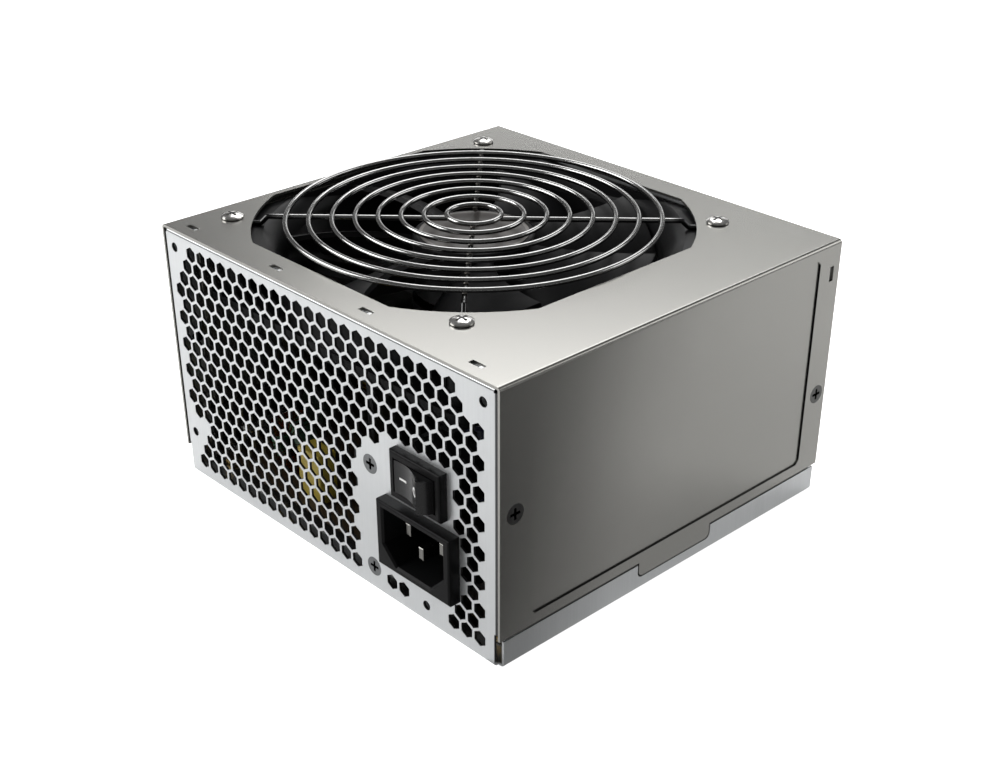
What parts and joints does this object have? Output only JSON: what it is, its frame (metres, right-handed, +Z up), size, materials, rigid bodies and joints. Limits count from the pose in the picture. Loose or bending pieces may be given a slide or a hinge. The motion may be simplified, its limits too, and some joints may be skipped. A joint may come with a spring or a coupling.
{
  "type": "desktop computer power supply unit",
  "caption": "Boxed computer power supply with a perforated rear panel, mains inlet, rocker switch and a fan under a round wire guard in its lid.",
  "frame": {"origin": "middle of the underside of the casing", "axes": "+X along the rear panel, towards its inlet end; +Y from the rear panel to the front wall; +Z up, out of the lid with the fan"},
  "size_m": [0.15, 0.1485, 0.0887],
  "materials": {
    "tray_steel": "satin zinc-plated sheet steel",
    "cover_steel": "satin grey painted sheet steel",
    "bright_screw": "bright plated",
    "guard_wire": "bright plated round wire",
    "fan_black": "moulded, slightly glossy",
    "label_grey": "plain foil-backed paper",
    "yoke_steel": "bare steel",
    "magnet": "bonded ferrite",
    "shaft_steel": "ground",
    "bearing_bronze": "sintered bronze",
    "core_steel": "stacked laminations",
    "copper": "enamelled copper wire",
    "circuit_board": "glass-epoxy laminate",
    "clip_nylon": "natural nylon",
    "inlet_black": "moulded, fine texture",
    "contact_metal": "nickel-plated brass",
    "rocker_black": "moulded gloss",
    "mark_white": "printed white",
    "grommet_black": "soft moulded",
    "bracket_steel": "plated steel",
    "blue_ceramic": "epoxy dipped",
    "standoff_brass": "turned brass",
    "sheet_insulator": "translucent polyester film",
    "yellow_film": "moulded box",
    "core_green": "coated ring core",
    "fuse_glass": "glass tube with end caps",
    "fuse_clip": "plated spring clip",
    "dark_epoxy": "epoxy",
    "capacitor_sleeve": "sleeved aluminium can",
    "heatsink": "extruded, bare",
    "tape_yellow": "polyester tape",
    "ferrite": "ferrite",
    "header_white": "nylon",
    "resistor": "painted body"
  },
  "bodies": {
    "casing": {"base_chassis": "tray_steel", "top_cover": "cover_steel", "cover_screws": "bright_screw", "panel_screws": "bright_screw", "fan_screws": "bright_screw", "fan_guard": "guard_wire", "fan_frame": "fan_black", "fan_bearing": "bearing_bronze", "fan_stator_core": "core_steel", "fan_windings": "copper", "fan_driver_board": "circuit_board", "inlet_housing": "inlet_black", "inlet_pins": "contact_metal", "switch_housing": "inlet_black", "switch_terminals": "contact_metal", "cable_grommet": "grommet_black", "inlet_bracket": "bracket_steel", "filter_board": "circuit_board", "y_capacitors": "blue_ceramic", "main_board": "circuit_board", "board_standoffs": "standoff_brass", "board_screws": "bright_screw", "insulation_sheet": "sheet_insulator", "x_capacitor": "yellow_film", "filter_choke_core": "core_green", "filter_choke_winding": "copper", "fuse": "fuse_glass", "fuse_clips": "fuse_clip", "thermistor": "dark_epoxy", "bridge_rectifier": "dark_epoxy", "bulk_capacitors": "capacitor_sleeve", "primary_heatsink": "heatsink", "power_transistors": "dark_epoxy", "driver_transformer": "tape_yellow", "main_transformer_core": "ferrite", "main_transformer_winding": "tape_yellow", "standby_transformer": "tape_yellow", "secondary_heatsink": "heatsink", "output_rectifiers": "dark_epoxy", "output_choke_core": "core_green", "output_choke_winding": "copper", "rod_chokes": "copper", "output_capacitors": "capacitor_sleeve", "control_chips": "dark_epoxy", "fan_header": "header_white", "heatsink_screws": "bright_screw", "bleed_resistors": "resistor"},
    "fan_rotor_body": {"fan_rotor": "fan_black", "fan_rotor_label": "label_grey", "fan_yoke": "yoke_steel", "fan_magnet": "magnet", "fan_shaft": "shaft_steel", "fan_retaining_clip": "clip_nylon"},
    "rocker_body": {"switch_rocker": "rocker_black", "rocker_marks": "mark_white"}
  },
  "joints": [
    {"name": "fan_spin", "type": "hinge", "parent": "casing", "child": "fan_rotor_body", "pos_m": [-0.0117, 0.001, 0.075], "axis": [0, 0, 1], "continuous": true},
    {"name": "rocker_tip", "type": "hinge", "parent": "casing", "child": "rocker_body", "pos_m": [0.0444, -0.07, 0.0459], "axis": [0, 0, 1], "range_deg": [0, 30]}
  ]
}
